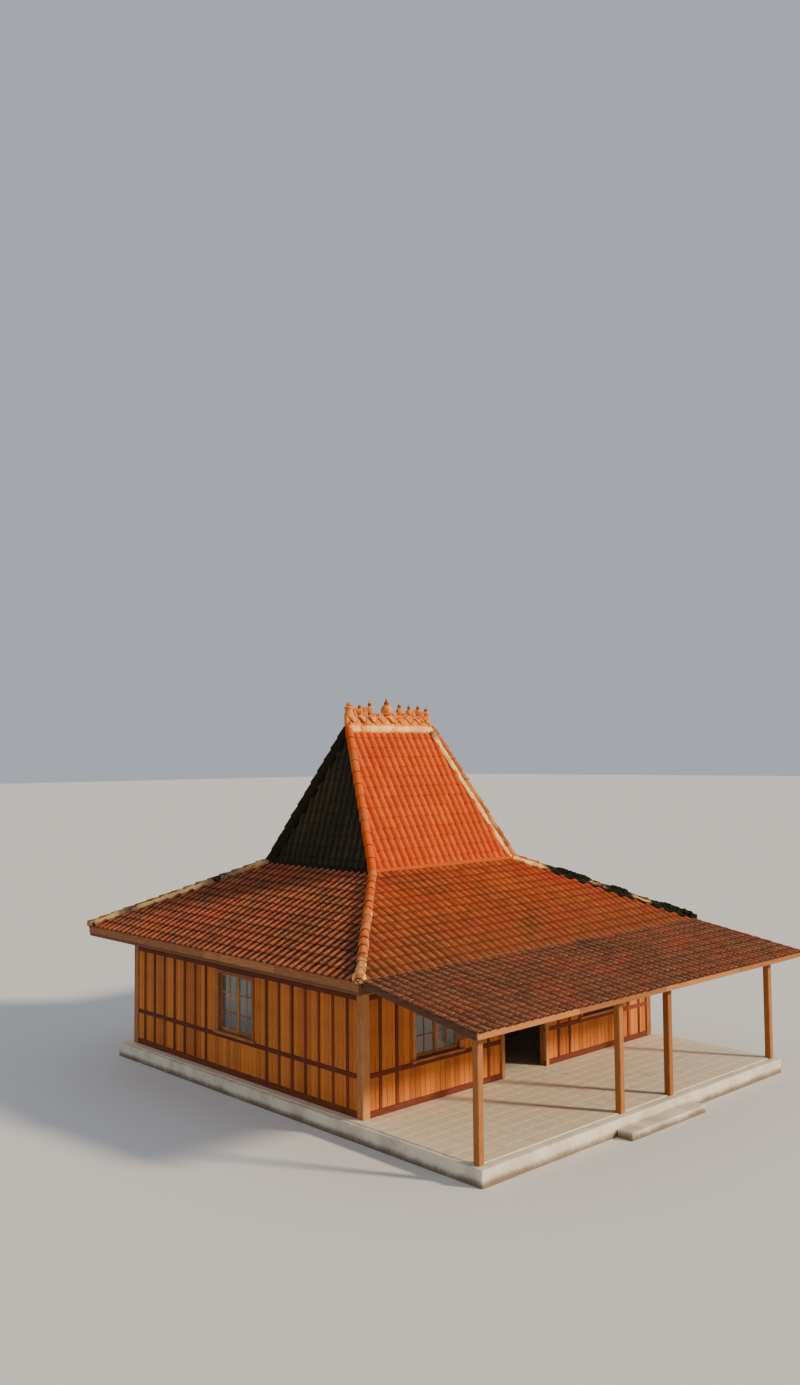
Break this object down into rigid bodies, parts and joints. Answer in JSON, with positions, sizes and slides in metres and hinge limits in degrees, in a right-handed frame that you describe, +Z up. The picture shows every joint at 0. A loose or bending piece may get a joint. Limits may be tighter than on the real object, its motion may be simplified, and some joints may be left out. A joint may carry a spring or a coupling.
{
  "type": "joglo house",
  "caption": "Javanese joglo house: a steep hipped roof with a finial crest over a wide low-pitched tile roof, boarded room, raised floor and lean-to veranda.",
  "frame": {"origin": "ground level under the centre of the steep roof, on the underside of the plinth", "axes": "+X along the ridge, -Y towards the veranda side, +Z up"},
  "size_m": [10.51, 12.375, 8.295],
  "materials": {
    "teak": "oiled and weathered",
    "boards": "oiled boards",
    "roof_tile": "unglazed clay, mossy in places",
    "terracotta": "unglazed clay",
    "mortar": "rough lime mortar",
    "plaster": "rough lime plaster",
    "glass": "clear"
  },
  "bodies": {
    "root": {"plinth": "plaster", "front_step": "plaster", "upper_roof_right": "roof_tile", "upper_roof_back": "roof_tile", "upper_roof_left": "roof_tile", "upper_roof_front": "roof_tile", "lower_roof_right": "roof_tile", "lower_roof_back": "roof_tile", "lower_roof_left": "roof_tile", "lower_roof_front": "roof_tile", "veranda_roof": "roof_tile", "lower_rafters_right": "teak", "lower_rafters_back": "teak", "lower_rafters_left": "teak", "lower_rafters_front": "teak", "veranda_rafters": "teak", "core_post_front_left": "teak", "core_post_front_right": "teak", "core_post_back_left": "teak", "core_post_back_right": "teak", "core_ring_beam": "teak", "wall_ring_beam": "teak", "front_wall_left": "boards", "front_window_glass_left": "glass", "front_wall_right": "boards", "front_window_glass_right": "glass", "front_wall_header": "boards", "back_wall": "boards", "back_window_glass": "glass", "left_wall": "boards", "left_window_glass": "glass", "right_wall": "boards", "right_window_glass": "glass", "veranda_post_left_1": "teak", "veranda_post_right_1": "teak", "veranda_post_left_2": "teak", "veranda_post_right_2": "teak", "veranda_beam": "teak", "eave_board_left": "teak", "eave_board_right": "teak", "eave_board_back": "teak", "veranda_eave_board": "teak", "veranda_verge_board_left": "teak", "veranda_verge_board_right": "teak", "upper_mortar": "mortar", "lower_mortar": "mortar", "ridge_crest": "terracotta"}
  },
  "joints": []
}
